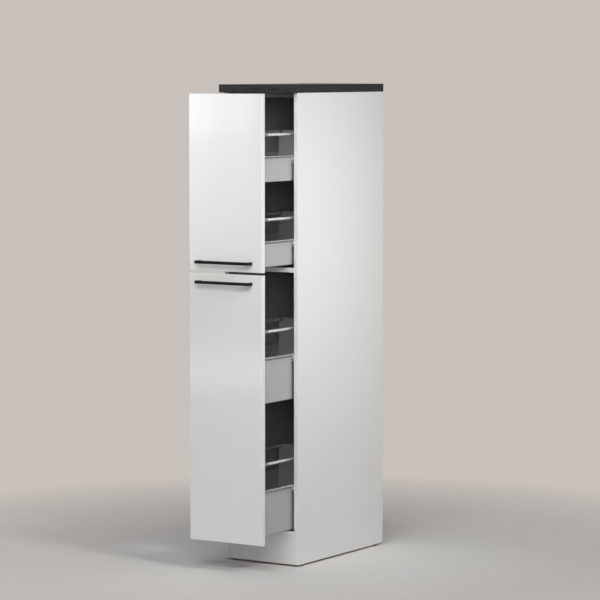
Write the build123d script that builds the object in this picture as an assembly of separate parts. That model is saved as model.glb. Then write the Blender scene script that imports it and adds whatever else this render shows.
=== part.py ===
from build123d import *
import os

# Tall narrow kitchen cabinet with two pull-outs. Each pull-out is a front that carries two steel
# drawers on roller runners. Sizes are in millimetres: X runs to the right, Y to the back and Z up.
# The origin is on the floor in the middle of the carcass, and the pull-outs stand part way out.

# Carcass
WIDTH = 300.0
CARCASS_DEPTH = 565.0
BASE_HEIGHT = 106.0
LOWER_BAY = 890.0
UPPER_BAY = 594.0
BOARD = 16.0
PLINTH_SETBACK = 2.0
BAND_ROUND = 1.0

# Glides under the side panels
GLIDE_HEIGHT = 6.0
GLIDE_DIAMETER = 14.0
GLIDE_INSET = 40.0
GLIDE_STUD_DIAMETER = 5.0
GLIDE_STUD_LENGTH = 12.0
GLIDE_CHAMFER = 0.8

# Thin back panels, held in a groove of each side panel
BACK_BOARD = 3.0
BACK_INSET = 12.0
GROOVE_DEPTH = 8.0

# Worktop and the two rails under it
WORKTOP_BOARD = 28.0
WORKTOP_OVERHANG = 35.0
WORKTOP_ROUND = 1.5
FRONT_RAIL_DEPTH = 80.0
FRONT_RAIL_SETBACK = 30.0
REAR_RAIL_HEIGHT = 100.0
WALL_HOLE_DIAMETER = 6.0
WALL_HOLE_SPACING = 160.0

# Cam locks, cam bolts and dowels
CAM_DIAMETER = 15.0
CAM_PAST_BOLT = 4.5
CAM_SETBACK = 24.0
BOLT_DIAMETER = 6.0
BOLT_NECK_DIAMETER = 4.0
BOLT_NECK_LENGTH = 4.0
BOLT_HEAD_LENGTH = 3.0
BOLT_CLEARANCE = 1.0
BOLT_SKIN = 5.0
DOWEL_DIAMETER = 8.0
DOWEL_LENGTH = 30.0
DOWEL_SKIN = 4.0
FITTING_SETBACK = 50.0
FITTING_PITCH = 32.0
RAIL_DOWEL_STEP = 24.0

# Fronts and their bumpers
FRONT_BOARD = 18.0
FRONT_REVEAL = 3.0
FRONT_GAP = 8.0
FRONT_TOP_GAP = 1.0
FRONT_DROP = 3.0
FRONT_ROUND = 1.0
BUMPER_GAP = 2.0
BUMPER_DIAMETER = 8.0
BUMPER_INSET = 25.0
PULLED_OUT = 198.0

# Handles
HANDLE_LENGTH = 218.0
HANDLE_BAR = 10.0
HANDLE_PROJECTION = 28.0
HANDLE_SETBACK = 30.0
HANDLE_CORNER = 2.5
HANDLE_EDGE = 0.8

# Screws
SCREW_DIAMETER = 4.0
SCREW_HEAD_DIAMETER = 8.0
SCREW_HEAD_HEIGHT = 2.6
HANDLE_SCREW_BITE = 12.0
WORKTOP_SCREW_SKIN = 14.0
RUNNER_SCREW_SKIN = 5.0
RUNNER_SCREW_HEAD_HEIGHT = 1.5
RUNNER_SCREW_FRONT = 37.0
RUNNER_SCREW_SPACING = 224.0

# Drawers
SHEET = 1.2
BEND = 1.8
REAR_SPACE = 42.0
DRAWER_BOARD = 16.0
DRAWER_BACK_BOARD = 16.0
SIDE_LIP = 3.0
BOTTOM_FLANGE = 14.0
REAR_TAB = 14.0
REAR_TAB_MARGIN = 12.0
LOW_SIDE = 87.0
HIGH_SIDE = 156.0
LOW_RAIL = 158.0
HIGH_RAIL = 241.0
BACK_OVER_RAIL = 6.0
UPPER_LIFT = 11.0
UPPER_PITCH = 285.5
LOWER_LIFT = 6.0
LOWER_PITCH = 450.0

# Rails and their sockets
RAIL_DIAMETER = 10.0
RAIL_WALL = 1.0
SOCKET_WALL = 2.0
SOCKET_RIM = 2.0
SOCKET_MARGIN = 0.5
SOCKET_FLANGE = 2.5
FRONT_SOCKET_LENGTH = 66.0
REAR_SOCKET_LENGTH = 12.0

# Brackets between each drawer side and its front
BRACKET_HEIGHT = 46.0
BRACKET_LIFT = 8.8
BRACKET_FOOT = 18.0
BRACKET_ARM = 34.0
BRACKET_THICKNESS = 2.0
BRACKET_BEND = 3.0

# Roller runners
ROLLER_DIAMETER = 19.0
ROLLER_WIDTH = 7.0
ROLLER_CHAMFER = 0.7
PIN_DIAMETER = 6.0
ROLLER_OFFSET = 1.4
LIP_CLEARANCE = 1.4
WEB_CLEARANCE = 0.8
FRONT_ROLLER_INSET = 11.5
REAR_ROLLER_INSET = 12.0
RUNNER_SETBACK = 1.0
RUNNER_TAIL = 6.0
RUNNER_DROP = 1.0
RUNNER_NOTCH = 3.0

# Clearances
FIT = 0.1
SLIP = 0.3
ROLL = 0.25
PIN_FIT = 0.08

# Carcass planes and levels
half_width = WIDTH / 2
inner_half = half_width - BOARD
front_plane = -CARCASS_DEPTH / 2
rear_plane = CARCASS_DEPTH / 2
back_face = rear_plane - BACK_INSET - BACK_BOARD
floor_top = BASE_HEIGHT + BOARD
shelf_under = floor_top + LOWER_BAY
shelf_top = shelf_under + BOARD
shelf_middle = shelf_under + BOARD / 2
carcass_top = shelf_top + UPPER_BAY
height = carcass_top + WORKTOP_BOARD
rail_under = carcass_top - BOARD
wall_hole_level = carcass_top - REAR_RAIL_HEIGHT / 2
front_rail_start = front_plane + FRONT_RAIL_SETBACK
front_rail_end = front_rail_start + FRONT_RAIL_DEPTH
front_rail_middle = (front_rail_start + front_rail_end) / 2
cam_depth = BOARD / 2 + CAM_PAST_BOLT
bolt_bite = BOARD - BOLT_SKIN
dowel_bite = BOARD - DOWEL_SKIN
runner_screw_bite = BOARD - RUNNER_SCREW_SKIN
worktop_screw_length = BOARD + WORKTOP_BOARD - WORKTOP_SCREW_SKIN

# Pull-out planes and levels
closed_face = front_plane - BUMPER_GAP
drawer_length = back_face - REAR_SPACE - closed_face
pullout_face = closed_face - PULLED_OUT
front_face = pullout_face - FRONT_BOARD
drawer_end = pullout_face + drawer_length
back_start = drawer_end - DRAWER_BACK_BOARD
side_flange = ROLLER_OFFSET + ROLLER_WIDTH + LIP_CLEARANCE + SHEET
wall_outer = inner_half - SHEET - WEB_CLEARANCE - side_flange
wall_inner = wall_outer - SHEET
inside_bend = BEND - SHEET / 2
front_half = half_width - FRONT_REVEAL
lower_front_span = (BASE_HEIGHT - FRONT_DROP, shelf_middle - FRONT_GAP / 2)
upper_front_span = (shelf_middle + FRONT_GAP / 2, carcass_top - FRONT_TOP_GAP)
upper_handle_level = upper_front_span[0] + HANDLE_SETBACK
lower_handle_level = lower_front_span[1] - HANDLE_SETBACK
handle_hole = HANDLE_LENGTH / 2 - HANDLE_BAR / 2

# Roller and runner places
roller_radius = ROLLER_DIAMETER / 2
roller_start = wall_outer + ROLLER_OFFSET
front_roller_depth = front_plane + FRONT_ROLLER_INSET
rear_roller_depth = drawer_end - REAR_ROLLER_INSET
runner_start = front_plane + RUNNER_SETBACK
runner_end = rear_roller_depth + PULLED_OUT + roller_radius + RUNNER_TAIL
front_roller_drop = SHEET + ROLL + roller_radius
runner_top_drop = SIDE_LIP + RUNNER_DROP
rear_roller_drop = runner_top_drop + SHEET + ROLL + roller_radius
runner_height = ROLLER_DIAMETER + 2 * ROLL + 2 * SHEET
first_runner_screw = front_plane + RUNNER_SCREW_FRONT
runner_screws_at = (first_runner_screw, first_runner_screw + RUNNER_SCREW_SPACING)

# Rail and socket places
socket_diameter = RAIL_DIAMETER + 2 * SOCKET_WALL
socket_flange_diameter = socket_diameter + 2 * SOCKET_RIM
rail_middle = wall_inner - SOCKET_MARGIN - socket_flange_diameter / 2

# Name, floor level, side height and rail height of each drawer, from the top down
UPPER_DRAWERS = (
    ("drawer_1", shelf_top + UPPER_LIFT + UPPER_PITCH, LOW_SIDE, LOW_RAIL),
    ("drawer_2", shelf_top + UPPER_LIFT, LOW_SIDE, LOW_RAIL),
)
LOWER_DRAWERS = (
    ("drawer_3", floor_top + LOWER_LIFT + LOWER_PITCH, HIGH_SIDE, HIGH_RAIL),
    ("drawer_4", floor_top + LOWER_LIFT, HIGH_SIDE, HIGH_RAIL),
)
DRAWERS = UPPER_DRAWERS + LOWER_DRAWERS

LEFTWARDS = (-1, 0, 0)
RIGHTWARDS = (1, 0, 0)
BACKWARDS = (0, 1, 0)
FORWARDS = (0, -1, 0)
UPWARDS = (0, 0, 1)


def save(name, *shapes):
    """Write one node, as all the solids of the given shapes."""
    solids = [solid for shape in shapes for solid in shape.solids()]
    export_step(Compound(solids), f"parts/{name}.step")


def block(across, back, up):
    """A box between two limits along X, Y and Z."""
    spans = (across, back, up)
    centre = [(low + high) / 2 for low, high in spans]
    return Pos(*centre) * Box(*[high - low for low, high in spans])


def rod(start, direction, diameter, length):
    """A cylinder that starts at a point and runs along a direction."""
    return Part(Solid.make_cylinder(diameter / 2, length, Plane(origin=start, z_dir=direction)).wrapped)


def mirrored(shape):
    """The same shape on the other side of the cabinet's middle plane."""
    return mirror(shape, about=Plane.YZ)


def screw(start, direction, head_height, length):
    """A pan-head screw: the start is under its head, and the direction is its point's."""
    back = [-step for step in direction]
    return rod(start, back, SCREW_HEAD_DIAMETER, head_height) + rod(start, direction, SCREW_DIAMETER, length)


def sheet_section(*points):
    """Section of a folded sheet, given along the middle of the metal."""
    with BuildSketch() as section:
        with BuildLine():
            FilletPolyline(*points, radius=BEND)
        trace(line_width=SHEET)
    return section.sketch


def banded(board, edge_axis):
    """A board with its front edges along one axis rounded, as edge bands are."""
    return fillet(board.edges().group_by(Axis.Y)[0].filter_by(edge_axis), BAND_ROUND)


def along_depth(section, start, end):
    """Push a section drawn in X and Z from one depth to another."""
    return extrude(Pos(0, start, 0) * (Plane.XZ * section), amount=start - end)


def cam_places():
    """Depth and level of each cam lock's bolt, at one end of the horizontal boards."""
    near = front_plane + FITTING_SETBACK
    far = back_face - FITTING_SETBACK
    levels = (BASE_HEIGHT + BOARD / 2, shelf_middle)
    places = [(depth, level) for level in levels for depth in (near, far)]
    return places + [(front_rail_middle, rail_under + BOARD / 2)]


def dowel_places():
    """Depth and level of each dowel, at one end of the boards and rails."""
    near = front_plane + FITTING_SETBACK + FITTING_PITCH
    far = back_face - FITTING_SETBACK - FITTING_PITCH
    levels = (BASE_HEIGHT + BOARD / 2, shelf_middle)
    places = [(depth, level) for level in levels for depth in (near, far)]
    places += [(front_rail_middle + RAIL_DOWEL_STEP, rail_under + BOARD / 2)]
    rail_depth = back_face - BOARD / 2
    return places + [(rail_depth, wall_hole_level + step) for step in (-FITTING_PITCH, FITTING_PITCH)]


def cam_holes():
    """Cutters for the cams and bolts in the right ends of the horizontal boards."""
    cutters = []
    for depth, level in cam_places():
        cam_foot = (inner_half - CAM_SETBACK, depth, level - BOARD / 2)
        cutters.append(rod(cam_foot, UPWARDS, CAM_DIAMETER + 2 * FIT, cam_depth + FIT))
        bolt_hole = BOLT_DIAMETER + 2 * BOLT_CLEARANCE
        cutters.append(rod((inner_half, depth, level), LEFTWARDS, bolt_hole, CAM_SETBACK))
    return cutters


def dowel_holes():
    """Cutters for the dowels, in the side panel and in the boards that meet it."""
    start = inner_half + dowel_bite + SLIP
    length = DOWEL_LENGTH + 2 * SLIP
    return [rod((start, depth, level), LEFTWARDS, DOWEL_DIAMETER + 2 * FIT, length)
            for depth, level in dowel_places()]


def drilled_ends(board):
    """A board with the holes for its cams, bolts and dowels at both ends."""
    cutters = cam_holes() + dowel_holes()
    return board - cutters - [mirrored(cutter) for cutter in cutters]


def side_panel():
    """The right side panel, with its groove and its drilled holes."""
    panel = block((inner_half, half_width), (front_plane, rear_plane), (GLIDE_HEIGHT, carcass_top))
    panel = banded(panel, Axis.Z)
    groove_depths = (back_face - FIT, back_face + BACK_BOARD + FIT)
    groove = block((inner_half, inner_half + GROOVE_DEPTH), groove_depths, (BASE_HEIGHT - SLIP, carcass_top))
    bolts = [rod((inner_half, depth, level), RIGHTWARDS, BOLT_DIAMETER + 2 * FIT, bolt_bite + SLIP)
             for depth, level in cam_places()]
    studs = [rod((half_width - BOARD / 2, depth, GLIDE_HEIGHT), UPWARDS,
                 GLIDE_STUD_DIAMETER + 2 * FIT, GLIDE_STUD_LENGTH + SLIP) for depth in glide_depths()]
    screws = [rod((inner_half, depth, level), RIGHTWARDS, SCREW_DIAMETER + 2 * FIT, runner_screw_bite + SLIP)
              for depth, level in runner_screw_places()]
    return panel - [groove] - dowel_holes() - bolts - studs - screws


def glide_depths():
    """Depths of the glides under one side panel."""
    return (front_plane + GLIDE_INSET, rear_plane - GLIDE_INSET)


def glide(depth):
    """A round plastic glide with its stud, under the right side panel."""
    centre = half_width - BOARD / 2
    foot = rod((centre, depth, 0), UPWARDS, GLIDE_DIAMETER, GLIDE_HEIGHT)
    foot = chamfer(foot.edges().group_by(Axis.Z)[0], GLIDE_CHAMFER)
    return foot + rod((centre, depth, GLIDE_HEIGHT), UPWARDS, GLIDE_STUD_DIAMETER, GLIDE_STUD_LENGTH)


def cam_bolt(depth, level):
    """A cam bolt: its thread in the side panel, its neck and head in the cam."""
    shank_end = inner_half - CAM_SETBACK + BOLT_NECK_LENGTH + BOLT_HEAD_LENGTH / 2
    shank_start = inner_half + bolt_bite
    neck_end = shank_end - BOLT_NECK_LENGTH
    shank = rod((shank_start, depth, level), LEFTWARDS, BOLT_DIAMETER, shank_start - shank_end)
    neck = rod((shank_end, depth, level), LEFTWARDS, BOLT_NECK_DIAMETER, BOLT_NECK_LENGTH)
    return shank + neck + rod((neck_end, depth, level), LEFTWARDS, BOLT_DIAMETER, BOLT_HEAD_LENGTH)


def cam_lock(depth, level):
    """A round cam, open on the side where the bolt's head goes in."""
    centre = inner_half - CAM_SETBACK
    cam = rod((centre, depth, level - BOARD / 2), UPWARDS, CAM_DIAMETER, cam_depth)
    pocket_start = centre - BOLT_HEAD_LENGTH / 2 - SLIP
    return cam - rod((pocket_start, depth, level), RIGHTWARDS, BOLT_DIAMETER + 2 * SLIP, CAM_DIAMETER)


def make_carcass():
    """Side panels, horizontal boards, rails, back panels, plinth, worktop and their fittings."""
    side = side_panel()
    save("right_side_panel", side)
    save("left_side_panel", mirrored(side))

    across = (-inner_half, inner_half)
    inside_depth = (front_plane, back_face)
    levels = {"bottom_panel": (BASE_HEIGHT, floor_top), "middle_shelf": (shelf_under, shelf_top)}
    for name, span in levels.items():
        save(name, drilled_ends(banded(block(across, inside_depth, span), Axis.X)))

    screw_holes = [rod(place, UPWARDS, SCREW_DIAMETER + 2 * FIT, worktop_screw_length + SLIP)
                   for place in worktop_screw_places()]
    front_rail = block(across, (front_rail_start, front_rail_end), (rail_under, carcass_top))
    save("top_front_rail", drilled_ends(front_rail) - screw_holes)

    rear_rail_start = back_face - BOARD
    rear_rail = block(across, (rear_rail_start, back_face), (carcass_top - REAR_RAIL_HEIGHT, carcass_top))
    wall_depth = BOARD + BACK_BOARD
    wall_holes = [rod((x, rear_rail_start, wall_hole_level), BACKWARDS, WALL_HOLE_DIAMETER, wall_depth)
                  for x in (-WALL_HOLE_SPACING / 2, WALL_HOLE_SPACING / 2)]
    save("top_rear_rail", drilled_ends(rear_rail) - wall_holes)

    back_half = inner_half + GROOVE_DEPTH - SLIP
    back_depth = (back_face, back_face + BACK_BOARD)
    lower_back = block((-back_half, back_half), back_depth, (BASE_HEIGHT, shelf_middle - FIT))
    upper_back = block((-back_half, back_half), back_depth, (shelf_middle + FIT, carcass_top))
    save("back_panel_lower", lower_back)
    save("back_panel_upper", upper_back - wall_holes)

    plinth_start = front_plane + PLINTH_SETBACK
    plinth = block(across, (plinth_start, plinth_start + BOARD), (GLIDE_HEIGHT, BASE_HEIGHT))
    save("plinth_panel", banded(plinth, Axis.X))

    worktop_depth = (front_plane - WORKTOP_OVERHANG, rear_plane)
    worktop = block((-half_width, half_width), worktop_depth, (carcass_top, height))
    worktop = fillet(worktop.edges().group_by(Axis.Y)[0], WORKTOP_ROUND)
    save("worktop", worktop - screw_holes)

    glides = [glide(depth) for depth in glide_depths()]
    save("glides", *glides, *[mirrored(piece) for piece in glides])
    cams = [cam_lock(*place) for place in cam_places()]
    save("cam_locks", *cams, *[mirrored(piece) for piece in cams])
    bolts = [cam_bolt(*place) for place in cam_places()]
    save("cam_bolts", *bolts, *[mirrored(piece) for piece in bolts])
    dowels = [rod((inner_half + dowel_bite, depth, level), LEFTWARDS, DOWEL_DIAMETER, DOWEL_LENGTH)
              for depth, level in dowel_places()]
    save("dowels", *dowels, *[mirrored(piece) for piece in dowels])
    save("worktop_screws", *[screw(place, UPWARDS, SCREW_HEAD_HEIGHT, worktop_screw_length)
                             for place in worktop_screw_places()])
    bumpers = [rod((half_width - BOARD / 2, front_plane, level), FORWARDS, BUMPER_DIAMETER, BUMPER_GAP - SLIP)
               for level in bumper_levels()]
    save("front_bumpers", *bumpers, *[mirrored(piece) for piece in bumpers])


def worktop_screw_places():
    """Places of the worktop's screws, on the underside of the front rail."""
    return [(x, front_rail_middle, rail_under) for x in (-inner_half / 2, inner_half / 2)]


def bumper_levels():
    """Levels of the bumpers on one side panel's front edge, near the ends of both fronts."""
    return [level for low, high in (lower_front_span, upper_front_span)
            for level in (low + BUMPER_INSET, high - BUMPER_INSET)]


def runner_screw_places():
    """Depth and level of each screw that holds a runner to the side panel."""
    return [(depth, floor + side_height - runner_top_drop - runner_height / 2)
            for _, floor, side_height, _ in DRAWERS for depth in runner_screws_at]


def runner(floor, side_height):
    """The right cabinet runner: a C channel with a roller pin at its open front end."""
    top = floor + side_height - runner_top_drop
    web = inner_half - SHEET / 2
    edge = roller_start - SHEET / 2
    upper = top - SHEET / 2
    lower = top - runner_height + SHEET / 2
    channel = along_depth(sheet_section((edge, upper), (web, upper), (web, lower), (edge, lower)),
                          runner_start, runner_end)
    notch_end = front_roller_depth + roller_radius + RUNNER_NOTCH
    notch_level = (top - 2 * SHEET, top + SHEET)
    notch = block((edge - SHEET, inner_half - SHEET), (runner_start, notch_end), notch_level)
    level = floor + side_height - front_roller_drop
    pin = rod((inner_half - SHEET, front_roller_depth, level), LEFTWARDS, PIN_DIAMETER,
              inner_half - SHEET - roller_start)
    middle = top - runner_height / 2
    holes = [rod((inner_half, depth, middle), LEFTWARDS, SCREW_DIAMETER + 2 * FIT, 2 * SHEET)
             for depth in runner_screws_at]
    return channel - notch - holes + pin


def roller(depth, level):
    """A nylon roller on the right side: a chamfered ring with a bore for its pin."""
    ring = rod((roller_start, depth, level), RIGHTWARDS, ROLLER_DIAMETER, ROLLER_WIDTH)
    ring = chamfer(ring.edges(), ROLLER_CHAMFER)
    return ring - rod((roller_start, depth, level), RIGHTWARDS, PIN_DIAMETER + 2 * PIN_FIT, ROLLER_WIDTH)


def drawer_side(floor, side_height):
    """The right drawer side, folded from sheet, with the pin of its rear roller."""
    top = floor + side_height
    wall = wall_outer - SHEET / 2
    lip = wall_outer + side_flange - SHEET / 2
    lower = floor + SHEET / 2
    upper = top - SHEET / 2
    section = sheet_section((wall_outer - BOTTOM_FLANGE, lower), (wall, lower), (wall, upper), (lip, upper),
                            (lip, top - SIDE_LIP))
    side = along_depth(section, pullout_face, drawer_end)
    tab = block((wall_outer - REAR_TAB, wall_outer), (drawer_end, drawer_end + SHEET),
                (floor + SHEET + DRAWER_BOARD, top - REAR_TAB_MARGIN))
    level = top - rear_roller_drop
    pin = rod((wall_outer, rear_roller_depth, level), RIGHTWARDS, PIN_DIAMETER, ROLLER_OFFSET + ROLLER_WIDTH)
    return side + tab + pin


def rail(level):
    """The right gallery rail, a round tube between its two sockets."""
    start = (rail_middle, pullout_face + SOCKET_FLANGE, level)
    length = back_start - pullout_face - 2 * SOCKET_FLANGE
    bore = rod(start, BACKWARDS, RAIL_DIAMETER - 2 * RAIL_WALL, length)
    return rod(start, BACKWARDS, RAIL_DIAMETER, length) - bore


def socket(depth, direction, level, length):
    """A cup with a flanged foot that holds one end of the right rail."""
    foot = (rail_middle, depth, level)
    seat = (rail_middle, depth + SOCKET_FLANGE * direction[1], level)
    flange = rod(foot, direction, socket_flange_diameter, SOCKET_FLANGE)
    cup = rod(foot, direction, socket_diameter, length)
    return flange + cup - rod(seat, direction, RAIL_DIAMETER + 2 * FIT, length)


def front_bracket(floor):
    """The angle that joins the right drawer side to the front."""
    inside = wall_inner - FIT
    corner = (inside, pullout_face)
    with BuildSketch() as angle:
        with BuildLine():
            Polyline(corner, (inside - BRACKET_FOOT, pullout_face),
                     (inside - BRACKET_FOOT, pullout_face + BRACKET_THICKNESS),
                     (inside - BRACKET_THICKNESS, pullout_face + BRACKET_THICKNESS),
                     (inside - BRACKET_THICKNESS, pullout_face + BRACKET_ARM),
                     (inside, pullout_face + BRACKET_ARM), close=True)
        make_face()
        inner_corner = angle.vertices().sort_by_distance((*corner, 0))[1]
        fillet(inner_corner, BRACKET_BEND)
    foot = floor + SHEET + DRAWER_BOARD + BRACKET_LIFT
    return Pos(0, 0, foot) * extrude(angle.sketch, amount=BRACKET_HEIGHT)


def make_drawer(name, floor, side_height, rail_height):
    """One drawer with its runners, rollers, rails and fittings."""
    runner_right = runner(floor, side_height)
    save(f"{name}_runners", runner_right, mirrored(runner_right))
    front_roller = roller(front_roller_depth, floor + side_height - front_roller_drop)
    save(f"{name}_front_rollers", front_roller, mirrored(front_roller))
    rear_roller = roller(rear_roller_depth, floor + side_height - rear_roller_drop)
    save(f"{name}_rear_rollers", rear_roller, mirrored(rear_roller))

    side_right = drawer_side(floor, side_height)
    save(f"{name}_side_right", side_right)
    save(f"{name}_side_left", mirrored(side_right))

    bottom_half = wall_inner - inside_bend
    board_top = floor + SHEET + DRAWER_BOARD
    bottom = block((-bottom_half, bottom_half), (pullout_face, drawer_end), (floor + SHEET, board_top))
    save(f"{name}_bottom", bottom)
    back_half = wall_inner - SLIP
    back_top = floor + rail_height + BACK_OVER_RAIL
    save(f"{name}_back", block((-back_half, back_half), (back_start, drawer_end), (board_top, back_top)))

    rail_level = floor + rail_height
    rail_right = rail(rail_level)
    save(f"{name}_rails", rail_right, mirrored(rail_right))
    fittings = [socket(pullout_face, BACKWARDS, rail_level, FRONT_SOCKET_LENGTH),
                socket(back_start, FORWARDS, rail_level, REAR_SOCKET_LENGTH),
                front_bracket(floor)]
    save(f"{name}_fittings", *fittings, *[mirrored(piece) for piece in fittings])


def handle(level):
    """A square bow handle with drilled feet."""
    gap = HANDLE_PROJECTION - HANDLE_BAR
    with BuildSketch() as bow:
        Rectangle(HANDLE_LENGTH, HANDLE_PROJECTION)
        with Locations((0, HANDLE_BAR / 2)):
            Rectangle(HANDLE_LENGTH - 2 * HANDLE_BAR, gap, mode=Mode.SUBTRACT)
        fillet(bow.vertices().group_by(Axis.Y)[0], HANDLE_CORNER)
    solid = extrude(bow.sketch, amount=HANDLE_BAR / 2, both=True)
    wall_side = HANDLE_PROJECTION / 2 - HANDLE_EDGE
    rims = solid.faces().filter_by(Axis.Z).edges().filter_by(lambda edge: edge.center().Y < wall_side)
    solid = chamfer(rims, HANDLE_EDGE)
    placed = Pos(0, front_face - HANDLE_PROJECTION / 2, level) * solid
    holes = [rod((x, front_face, level), FORWARDS, SCREW_DIAMETER + 2 * FIT, HANDLE_SCREW_BITE + SLIP)
             for x in (-handle_hole, handle_hole)]
    return placed - holes


def make_pullout(name, span, handle_level, drawers):
    """A front with its handle, the handle's screws and the drawers behind it."""
    head_depth = SCREW_HEAD_HEIGHT + SLIP
    places = [(x, pullout_face, handle_level) for x in (-handle_hole, handle_hole)]
    seats = [(x, y - head_depth, level) for x, y, level in places]
    board = block((-front_half, front_half), (front_face, pullout_face), span)
    board = fillet(board.edges().group_by(Axis.Y)[0], FRONT_ROUND)
    heads = [rod(place, FORWARDS, SCREW_HEAD_DIAMETER + 2 * SLIP, head_depth) for place in places]
    shafts = [rod(place, FORWARDS, SCREW_DIAMETER + 2 * FIT, FRONT_BOARD) for place in places]
    save(f"{name}_front", board - heads - shafts)
    save(f"{name}_handle", handle(handle_level))
    length = FRONT_BOARD - head_depth + HANDLE_SCREW_BITE
    save(f"{name}_handle_screws", *[screw(seat, FORWARDS, SCREW_HEAD_HEIGHT, length) for seat in seats])
    for drawer in drawers:
        make_drawer(*drawer)


def make_runner_screws():
    """The screws that hold all the runners to the side panels."""
    screws = [screw((inner_half - SHEET, depth, level), RIGHTWARDS, RUNNER_SCREW_HEAD_HEIGHT,
                    SHEET + runner_screw_bite) for depth, level in runner_screw_places()]
    save("runner_screws", *screws, *[mirrored(piece) for piece in screws])


os.makedirs("parts", exist_ok=True)
make_carcass()
make_runner_screws()
make_pullout("upper", upper_front_span, upper_handle_level, UPPER_DRAWERS)
make_pullout("lower", lower_front_span, lower_handle_level, LOWER_DRAWERS)
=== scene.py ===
"""Finished looks of a tall narrow kitchen cabinet with two pull-outs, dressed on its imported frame."""
import math

import bpy
import numpy as np
from bpy.props import FloatProperty, FloatVectorProperty, PointerProperty
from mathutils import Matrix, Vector


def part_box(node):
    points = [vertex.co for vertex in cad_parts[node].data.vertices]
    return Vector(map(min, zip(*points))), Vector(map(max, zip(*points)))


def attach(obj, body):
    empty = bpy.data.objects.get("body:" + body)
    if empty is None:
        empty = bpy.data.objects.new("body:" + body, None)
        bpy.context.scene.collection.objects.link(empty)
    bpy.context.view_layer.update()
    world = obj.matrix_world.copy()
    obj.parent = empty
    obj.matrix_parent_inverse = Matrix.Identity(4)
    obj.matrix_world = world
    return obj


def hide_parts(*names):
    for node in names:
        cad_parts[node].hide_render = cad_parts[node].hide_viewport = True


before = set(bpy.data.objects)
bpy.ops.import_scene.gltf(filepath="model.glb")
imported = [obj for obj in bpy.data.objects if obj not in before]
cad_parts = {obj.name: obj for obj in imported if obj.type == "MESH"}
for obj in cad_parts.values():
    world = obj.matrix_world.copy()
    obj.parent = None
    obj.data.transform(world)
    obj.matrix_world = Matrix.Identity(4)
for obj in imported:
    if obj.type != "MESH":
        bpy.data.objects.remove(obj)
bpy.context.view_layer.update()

bl_info = {
    "name": "Kitchen Cabinet Finish",
    "version": (1, 0, 0),
    "blender": (4, 5, 0),
    "location": "3D View > Sidebar > Cabinet",
    "description": "Dresses the packed cabinet with finished surfaces and sets up its studio",
    "category": "Object",
}

# Sizes are in metres
X, Y, Z = 0, 1, 2
HANDS = (("left", -1), ("right", 1))
PULLOUTS = {"upper": ("drawer_1", "drawer_2"), "lower": ("drawer_3", "drawer_4")}
DRAWERS = tuple((drawer, f"{pullout}_pullout") for pullout, pair in PULLOUTS.items() for drawer in pair)

# Fineness of the surfaces
EASE_STEPS = 4
BEND_STEPS = 6
TURN_STEPS = 40
ROLLER_STEPS = 56
FLOOR_STEPS = 64
SCREW_RINGS = 9
SHARP_ANGLE = math.radians(35)

# Corner radius of a board, as a multiple of its easing
CORNER_SHARE = 1.5

# Folded sheet of the drawer sides and runners
SHEET = 0.0012
BEND = 0.0018
BOTTOM_FLANGE = 0.014
SIDE_LIP = 0.003
REAR_TAB = 0.014
REAR_TAB_MARGIN = 0.012
TAB_EASE = SHEET / 4
DRAWER_FLOOR = 0.0172
RUNNER_HEIGHT = 0.0219
RUNNER_SETBACK = 0.001

# Rollers and their pins
PIN_RADIUS = 0.003
PIN_EASE = 0.0006
ROLLER_RADIUS = 0.0095
ROLLER_WIDTH = 0.007
ROLLER_BORE = 0.00308
ROLLER_HUB = 0.0052
ROLLER_WEB = 0.0078
ROLLER_RECESS = 0.001
ROLLER_DRAFT = 0.0005
ROLLER_EASE = 0.0007
ROLLER_NOTCH = 0.003

# Rails and their sockets
RAIL_WALL = 0.001
FRONT_SOCKET = 0.066
REAR_SOCKET = 0.012
SOCKET_RADIUS = 0.007
SOCKET_BORE = 0.0051
SOCKET_FLANGE = 0.0025
SOCKET_FLANGE_RADIUS = 0.009
SOCKET_EASE = 0.0005
SOCKET_MIDDLE = 0.0002

# Handles
HANDLE_BAR = 0.010
HANDLE_CORNER = 0.0025

# Brackets between each drawer side and its front
BRACKET_LIFT = 0.026
BRACKET_HEIGHT = 0.046
BRACKET_FOOT = 0.018
BRACKET_ARM = 0.034
BRACKET_THICKNESS = 0.002
BRACKET_BEND = 0.003
BRACKET_FIT = 0.0001

# Screws
SCREW_RADIUS = 0.002
SCREW_HEAD_RADIUS = 0.004
RUNNER_SCREW_HEAD = 0.0015
RUNNER_SCREW_LENGTH = 0.0122
RUNNER_SCREW_DEPTHS = (0.037, 0.261)

# Shape of a screw, in shares of its shank's radius, its head's radius and its head's height
SCREW_TIP = 0.2
HEAD_MIDDLE = 0.06
HEAD_DOME = 0.45
CROSS_DEPTH = 0.5
CROSS_REACH = 0.62
CROSS_REACH_FADE = 0.12
CROSS_WIDTH = 0.17
CROSS_WIDTH_FADE = 0.05

# How far a finish reaches into a board from a face, and the place of the seam behind an edge band
FACE_SKIN = 0.0004
LACQUER_SKIN = 0.0005
SIDE_BAND = 0.0012
BOARD_BAND = 0.0011
SEAM_DEPTH = 0.0014
SEAM_HALF = 0.0002

# Usual span of a cloudy noise
NOISE_SPAN = (0.3, 0.7)

# Colours that the panel doesn't set
# Dark grey edge band of the top rails, darkened further as painted shade for the shade under the worktop's
# overhang
RAIL_EDGE_AND_PAINTED_SHADE = (0.10, 0.10, 0.10)
SEAM_GREY = (0.45, 0.45, 0.44)
CHIP_BROWN = (0.40, 0.27, 0.15)
CHIP_PALE = (0.62, 0.47, 0.30)
STEEL = (0.55, 0.55, 0.53)
ZINC = (0.45, 0.45, 0.44)
EPOXY = (0.62, 0.62, 0.60)
NYLON = (0.80, 0.80, 0.78)
BEECH = (0.55, 0.38, 0.22)
GLIDE_PLASTIC = (0.03, 0.03, 0.03)
BUMPER_PLASTIC = (0.62, 0.62, 0.60)

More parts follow.
